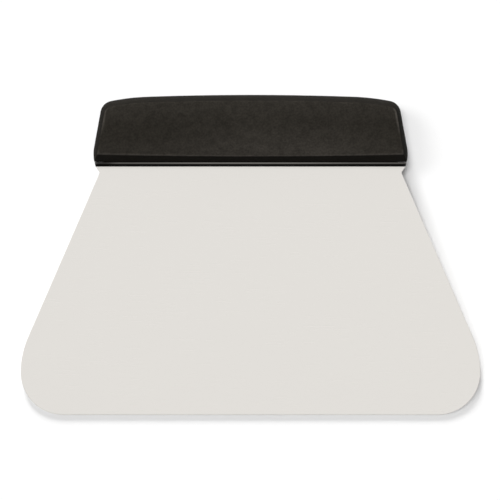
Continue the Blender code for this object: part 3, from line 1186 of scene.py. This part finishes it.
@dataclass
class Blade(Maker):
    """The sheet: flared blade, ears at the handle's ends and a punched tang inside."""

    node: ClassVar[str] = "blade"

    fit: Fit
    outline: HandleOutline
    tang: Tang
    width: float = 160.0 * MM
    reach: float = 86.6 * MM
    toe_radius: float = 14.6 * MM
    flank_radius: float = 31.3 * MM
    side_angle: float = math.radians(23.8)
    notch_drop: float = 2.1 * MM
    notch_radius: float = 0.8 * MM
    punch_stand: float = 1.5 * MM
    edge_ease: float = 0.15 * MM
    edge_steps: int = 4
    eased_angle: float = math.radians(60.0)
    sharp_angle: float = math.radians(40.0)
    finish: SatinSteel = SatinSteel()

    def notch(self, ear: Point, side_point: Point) -> list[Point]:
        """Round bottom of the notch between the ear and the leaning side.

        Args:
            ear: Outer corner of the ear.
            side_point: Upper end of the leaning side's straight part.

        Returns:
            The notch's points, from the side to the ear.
        """
        drop = -self.notch_drop - side_point[1]
        vertex = (side_point[0] - drop * math.tan(self.side_angle), -self.notch_drop)
        down = self.side_angle - QUARTER
        up = math.atan2(ear[1] - vertex[1], ear[0] - vertex[0])
        reach = self.notch_radius / math.sin((up - down) / 2)
        middle = (up + down) / 2
        centre = (vertex[0] + reach * math.cos(middle), vertex[1] + reach * math.sin(middle))
        return arc(centre, self.notch_radius, down - QUARTER, up - 3 * QUARTER, Steps.CORNER)

    def sheet_outline(self) -> list[Point]:
        """Outline of the whole sheet, blade and tang.

        Returns:
            Its points, anticlockwise.
        """
        half, widest_y = self.width / 2, self.toe_radius - self.reach
        toe_centre = (half - self.toe_radius, widest_y)
        flank_centre = (half - self.flank_radius, widest_y)
        toe = arc(toe_centre, self.toe_radius, -QUARTER, 0.0, Steps.CROWN)
        flank = arc(flank_centre, self.flank_radius, 0.0, self.side_angle, Steps.CORNER)
        shoulder_y = self.fit.ear_seat - self.fit.clearance
        ear = (self.outline.side_x(0.0), 0.0)
        ear_top = (self.outline.side_x(shoulder_y), shoulder_y)
        right_half = toe + flank[1:] + self.notch(ear, flank[-1]) + [ear, ear_top]
        return mirrored(right_half + self.tang.right_half(0.0, shoulder_y))

    def build(self) -> Piece:
        """The sheet with its punched holes and tumbled edges.

        Returns:
            The piece, in the tool's own frame.
        """
        blade = new_piece("blade_sheet", plate(self.sheet_outline(), self.fit.sheet_thickness / 2))
        punch_length = self.fit.sheet_thickness + 2 * self.punch_stand
        shape(blade, self.tang.rods(self.tang.hole_radius, punch_length), Shaping.CUT)
        shade(blade, self.sharp_angle)
        ease = blade.modifiers.new("tumbled_edges", "BEVEL")
        ease.width = self.edge_ease
        ease.segments = self.edge_steps
        ease.limit_method = "ANGLE"
        ease.angle_limit = self.eased_angle
        ease.harden_normals = True
        return blade


@dataclass
class Core(Maker):
    """The hard moulding inside the grip, closed round the tang and ending in the collar."""

    node: ClassVar[str] = "handle_core"

    fit: Fit
    outline: HandleOutline
    section: HandleSection
    tang: Tang
    neck_wall: float = 1.1 * MM
    head_thickness: float = 9.0 * MM
    head_edge: float = 0.6 * MM
    head_flare: float = 4.4 * MM
    foot_lip: float = 0.9 * MM
    foot_radius: float = 0.8 * MM
    collar_step: float = 0.3 * MM
    collar_draft: float = math.radians(1.0)
    collar_slope: float = math.radians(35.0)
    collar_slope_reach: float = 1.0 * MM
    collar_edge_radius: float = 0.15 * MM
    sharp_angle: float = math.radians(35.0)
    finish: SmoothPlastic = SmoothPlastic()

    def levels(self, clearance: float) -> list[Level]:
        """Levels of the head and the neck, or of the hollow round them.

        Args:
            clearance: Space kept round them.

        Returns:
            Height, inset and bottom of each level, from the middle plane to the front.
        """
        neck_half = self.fit.slot_half() + self.neck_wall + clearance
        head_half = self.head_thickness / 2 + clearance
        inset = self.fit.core_inset() - clearance
        bottom = self.fit.collar_rise / 2 - clearance
        return [
            (0.0, inset, bottom),
            (neck_half, inset, bottom),
            (head_half - self.head_edge, inset, bottom + self.head_flare),
            (head_half, inset + self.head_edge, bottom + self.head_flare + self.head_edge),
        ]

    def head_body(self, clearance: float) -> Body:
        """The body of the head and the neck, or of the hollow round them.

        Args:
            clearance: Space kept round them.

        Returns:
            The body.
        """
        rings = [
            at_height(self.outline.drawn(inset, bottom, self.foot_radius + clearance), height)
            for height, inset, bottom in both_sides(self.levels(clearance))
        ]
        return lofted(rings)

    def foot_half(self) -> float:
        """Half the thickness of the grip's foot.

        Returns:
            Half its hollow there, and a lip round it.
        """
        neck, flare = self.levels(self.fit.clearance)[1:3]
        share = (self.fit.foot_rise() - neck[2]) / (flare[2] - neck[2])
        return neck[0] + (flare[0] - neck[0]) * share + self.foot_lip

    def collar_levels(self) -> list[Point]:
        """Levels of the collar: its wall, its slope and its rounded edge.

        Returns:
            Height and inset of each level, from the middle plane to the front.
        """
        half, radius = self.foot_half() - self.collar_step, self.collar_edge_radius
        slope, slope_reach = self.collar_slope, self.collar_slope_reach
        wall_top = half - slope_reach * math.tan(slope)
        wall_inset = wall_top * math.tan(self.collar_draft)
        centre = (wall_inset + slope_reach + radius * math.tan(slope / 2), half - radius)
        edge = arc(centre, radius, QUARTER + slope, QUARTER, Steps.WALL)
        return [(0.0, 0.0), (wall_top, wall_inset)] + [(height, inset) for inset, height in edge]

    def collar_body(self) -> Body:
        """The collar, with sloping lower edges and with ends that follow the handle's.

        Returns:
            Its body.
        """
        rings = []
        for height, edge_inset in both_sides(self.collar_levels()):
            inset = self.section.side_inset(abs(height)) + edge_inset
            rises = spaced(edge_inset, self.fit.collar_rise, Steps.CORNER)
            outline = mirrored([(self.outline.side_x(rise, inset), rise) for rise in rises])
            rings.append(at_height(outline, height))
        return lofted(rings)

    def build(self) -> Piece:
        """The moulding with its collar, its slot and its pins.

        Returns:
            The piece, in the tool's own frame.
        """
        core = new_piece("core_with_collar", self.head_body(0.0))
        shape(core, self.collar_body(), Shaping.JOIN)
        slot_half, clearance = self.fit.slot_half(), self.fit.clearance
        slot = mirrored(self.tang.right_half(clearance, -self.fit.collar_rise))
        shape(core, plate(slot, slot_half), Shaping.CUT)
        reach, seat = self.outline.length, self.fit.ear_seat
        pocket = [(-reach, -seat), (reach, -seat), (reach, seat), (-reach, seat)]
        shape(core, plate(pocket, slot_half), Shaping.CUT)
        pin_length = 2 * (slot_half + self.neck_wall)
        pins = self.tang.rods(self.tang.hole_radius - clearance, pin_length)
        shape(core, pins, Shaping.JOIN)
        shade(core, self.sharp_angle)
        return core


@dataclass
class Grip(Maker):
    """The grained outer moulding: crowned, swelling faces, hollow where the core sits."""

    node: ClassVar[str] = "handle_grip"

    fit: Fit
    outline: HandleOutline
    section: HandleSection
    core: Core
    foot_face_rise: float = 2.3 * MM
    foot_radius: float = 0.25 * MM
    seam_half: float = 0.10 * MM
    seam_stand: float = 0.04 * MM
    seam_fullness: float = 0.8
    sharp_angle: float = math.radians(35.0)
    finish: GrainedPlastic = GrainedPlastic()

    def foot_lean(self) -> float:
        """Lean of the wall between the foot and the rim.

        Returns:
            Its angle from upright, in radians.
        """
        section = self.section
        across = self.foot_face_rise + section.rim_radius * math.sin(section.swell_turn)
        up = section.rim_centre() - self.core.foot_half()
        return math.atan2(across, up) - math.asin(section.rim_radius / math.hypot(across, up))

    def bottom_rise(self, height: float) -> float:
        """Height above the mouth of the grip's lower edge.

        Args:
            height: Height above the middle plane.

        Returns:
            How far the lower edge lies above the mouth there.
        """
        section, foot_rise = self.section, self.fit.foot_rise()
        if height <= section.rim_centre() + section.rim_radius * math.sin(self.foot_lean()):
            above_foot = max(height - self.core.foot_half(), 0.0)
            return foot_rise + above_foot * math.tan(self.foot_lean())
        return section.inset_past(height, foot_rise + self.foot_face_rise)

    def heights(self) -> list[float]:
        """Heights of the levels beyond the parting line.

        Returns:
            The heights, from just past that line to the flat of the face.
        """
        section, foot_half = self.section, self.core.foot_half()
        lower = spaced(2 * self.seam_half, foot_half, Steps.WALL)[:-1]
        wall = spaced(foot_half, section.wall_top(), Steps.WALL)[:-1]
        rim_centre, rim_radius = section.rim_centre(), section.rim_radius
        rim_start = math.asin((section.wall_top() - rim_centre) / rim_radius)
        rim_end = QUARTER - section.swell_turn
        rim = arc((0.0, rim_centre), rim_radius, rim_start, rim_end, Steps.CORNER)
        swell_radius = section.swell_radius()
        swell_centre = (0.0, section.thickness / 2 - swell_radius)
        swell = arc(swell_centre, swell_radius, rim_end, QUARTER, Steps.SWELL)
        return lower + wall + [y for _, y in rim + swell[1:]]

    def levels(self) -> list[Level]:
        """Levels of the front half, parting line first.

        Returns:
            Height, inset and bottom of each level.
        """
        foot_rise = self.fit.foot_rise()
        seam = [
            (0.0, -self.seam_stand, foot_rise),
            (self.seam_half / 2, -self.seam_fullness * self.seam_stand, foot_rise),
            (self.seam_half, 0.0, foot_rise),
        ]
        main = [
            (height, self.section.side_inset(height), self.bottom_rise(height))
            for height in self.heights()
        ]
        return seam + main

    def ring(self, level: Level) -> list[Point3]:
        """The outer ring at one level, with its bottom edge bowed more the nearer the face.

        Args:
            level: Height, inset and bottom of the level.

        Returns:
            The ring's points.
        """
        height, inset, bottom = level
        share = (bottom - self.fit.foot_rise()) / self.foot_face_rise
        bow = self.outline.foot_bow * min(share, 1.0)
        return at_height(self.outline.drawn(inset, bottom, self.foot_radius, bow), height)

    def build(self) -> Piece:
        """The moulding with its hollow.

        The hollow's faces have three sides each, because a bent face leaves folds where it
        is cut.

        Returns:
            The piece, in the tool's own frame.
        """
        rings = [self.ring(level) for level in both_sides(self.levels())]
        grip = new_piece("grip_moulding", lofted(rings))
        hollow = self.core.head_body(self.fit.clearance)
        bmesh.ops.triangulate(hollow, faces=hollow.faces[:])
        shape(grip, hollow, Shaping.CUT)
        shade(grip, self.sharp_angle)
        return grip


@dataclass
class DoughScraper:
    """The whole tool: the makers of its pieces, and how it lies on the table."""

    fit: Fit = Fit()
    outline: HandleOutline = HandleOutline()
    section: HandleSection = HandleSection()
    blade: Blade = field(init=False)
    core: Core = field(init=False)
    grip: Grip = field(init=False)

    def __post_init__(self) -> None:
        """Set up the makers of the three pieces with the sizes that they share."""
        tang = Tang(self.fit, self.outline)
        self.blade = Blade(self.fit, self.outline, tang)
        self.core = Core(self.fit, self.outline, self.section, tang)
        self.grip = Grip(self.fit, self.outline, self.section, self.core)

    def makers(self) -> tuple[Maker, ...]:
        """The makers of the pieces, in the order in which they build."""
        return self.blade, self.core, self.grip

    def resting_place(self) -> Matrix:
        """Where the tool lies: on its blade's edge and on its handle's back.

        Returns:
            The matrix from the tool's own frame to the row frame.
        """
        half_sheet, reach = self.fit.sheet_thickness / 2, self.blade.reach
        lean = max(
            math.atan2(height - half_sheet, bottom + reach)
            for height, _, bottom in self.grip.levels()
        )
        reach_down = reach * math.cos(lean) + half_sheet * math.sin(lean)
        reach_up = self.outline.height * math.cos(lean)
        rise = reach * math.sin(lean) + half_sheet * math.cos(lean)
        place = Matrix.Translation((0.0, (reach_down - reach_up) / 2, rise))
        return place @ Matrix.Rotation(lean, 4, "X")


# Studio


@dataclass(frozen=True)
class SoftSun:
    """A far, soft lamp that lights the table evenly and doesn't show in gloss.

    Its share is how white it alone would make the table, and its bearing, elevation and
    softness are in degrees.
    """

    name: str
    share: float
    bearing: float
    elevation: float
    softness: float

    def hang(self) -> None:
        """Hang the lamp: bearing turns it from behind the tool towards its left."""
        bearing, elevation = math.radians(self.bearing), math.radians(self.elevation)
        data = bpy.data.lights.new(self.name, "SUN")
        data.energy = self.share * math.pi / math.sin(elevation)
        data.angle = math.radians(self.softness)
        lamp = bpy.data.objects.new(self.name, data)
        aside, up = math.cos(elevation), math.sin(elevation)
        towards = Vector((-aside * math.sin(bearing), aside * math.cos(bearing), up))
        lamp.rotation_euler = towards.to_track_quat("Z", "Y").to_euler()
        lamp.visible_glossy = False
        bpy.context.scene.collection.objects.link(lamp)


@dataclass(frozen=True)
class Sky:
    """The room's soft light: white overhead and behind, greyer low down in front."""

    bright: float = 1.022
    dim: float = 0.45
    slopes: Span = (0.08, 0.62)
    lean: float = 0.6
    diffuse_share: float = 0.114

    def spread(self) -> None:
        """Fill the world with it."""
        world = bpy.data.worlds.new("soft_room")
        world.use_nodes = True
        bpy.context.scene.world = world
        bench = NodeBench(world.node_tree)
        direction = bench.lay("TexCoord", {}).outputs["Generated"]
        up, back = bench.part_of(direction, Axis.Z), bench.part_of(direction, Axis.Y)
        slope = bench.plus(up, bench.times(back, self.lean))
        glow = bench.ramp(slope, self.slopes, self.dim, self.bright)
        path = bench.lay("LightPath", {})
        share = bench.ramp(path.outputs["Is Diffuse Ray"], UNIT, 1.0, self.diffuse_share)
        background = world.node_tree.nodes["Background"]
        bench.feed(background.inputs["Strength"], bench.times(glow, share))
        background.inputs["Color"].default_value = opaque(WHITE)


@dataclass(frozen=True)
class Studio:
    """White table, plain soft light, and a camera that looks straight down."""

    suns: tuple[SoftSun, ...] = (
        SoftSun("high_lamp", share=0.35, bearing=60.0, elevation=78.0, softness=16.0),
        SoftSun("side_lamp", share=0.20, bearing=72.0, elevation=50.0, softness=28.0),
        SoftSun("low_lamp", share=0.38, bearing=11.0, elevation=19.0, softness=18.0),
    )
    sky: Sky = Sky()
    camera_height: float = 700.0 * MM
    camera_side: float = -0.2 * MM
    camera_up: float = 2.04 * MM
    seen_width: float = 174.62 * MM
    sensor_width: float = 36.0
    table_radius: float = 4.0

    def lay_table(self) -> None:
        """The tabletop, a round sheet at the height on which the tool lies."""
        disc = bmesh.new()
        steps = Steps.TABLE.value
        bmesh.ops.create_circle(disc, cap_ends=True, segments=steps, radius=self.table_radius)
        table = new_piece("table", disc)
        table.data.materials.append(WhiteTable().make())

    def set_camera(self) -> None:
        """The camera, straight above the table, with the photograph's field of view."""
        data = bpy.data.cameras.new("camera")
        data.sensor_width = self.sensor_width
        data.lens = self.sensor_width * self.camera_height / self.seen_width
        camera = bpy.data.objects.new("camera", data)
        camera.location = (self.camera_side, self.camera_up, self.camera_height)
        bpy.context.scene.collection.objects.link(camera)
        bpy.context.scene.camera = camera

    def build(self) -> None:
        """Set up the whole studio."""
        self.lay_table()
        self.set_camera()
        self.sky.spread()
        for sun in self.suns:
            sun.hang()
        bpy.context.scene.view_settings.view_transform = "Standard"


def write_sizes() -> None:
    """Bring the scene's placements up to date."""
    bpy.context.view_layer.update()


def main() -> None:
    """Build the scraper's pieces in order, report each, and set up the studio."""
    logging.basicConfig(level=logging.INFO, format="%(name)s: %(message)s")
    scraper = DoughScraper()
    place = scraper.resting_place()
    for maker in scraper.makers():
        piece = maker.dress(place)
        LOG.info("%s: %d faces, for %s", piece.name, len(piece.data.polygons), maker.node)
    Studio().build()
    write_sizes()


if __name__ == "__main__":
    main()
